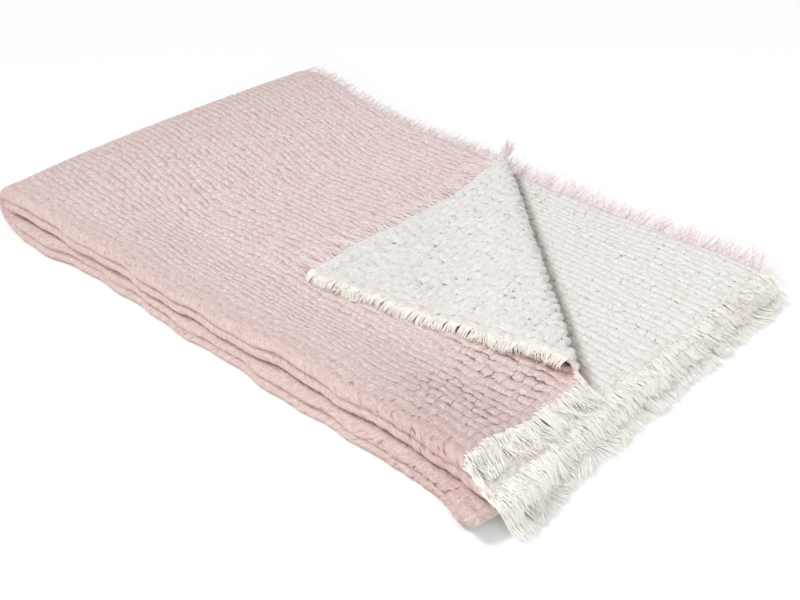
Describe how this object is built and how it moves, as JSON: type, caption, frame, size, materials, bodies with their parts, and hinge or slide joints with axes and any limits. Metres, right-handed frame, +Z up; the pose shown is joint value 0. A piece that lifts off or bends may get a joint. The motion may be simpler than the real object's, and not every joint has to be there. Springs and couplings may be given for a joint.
{
  "type": "folded cotton throw blanket",
  "caption": "Crinkled cotton throw folded in half both ways, one top corner turned back, yarn fringe along its ends and long sides.",
  "frame": {"origin": "on the surface that the throw lies on, under the middle of its box", "axes": "+X along the long fold, from the cross fold towards the fringed ends; +Y from the long fold towards the open long sides; +Z up"},
  "size_m": [1.011, 0.6801, 0.0731],
  "materials": {
    "pink_cotton": "matt crinkled double weave, dusty pink on this face and off-white on the other",
    "white_yarn": "matt off-white cotton yarn, curly",
    "pink_yarn": "matt dusty pink cotton yarn, fine and sparse"
  },
  "bodies": {
    "root": {"cloth": "pink_cotton", "end_fringe_top": "white_yarn", "end_fringe_second": "white_yarn", "end_fringe_third": "white_yarn", "end_fringe_bottom": "white_yarn", "end_fringe_corner": "white_yarn", "side_fringe_outer": "pink_yarn", "side_fringe_inner": "pink_yarn", "side_fringe_corner": "pink_yarn", "side_fringe_tuft": "pink_yarn"}
  },
  "joints": []
}
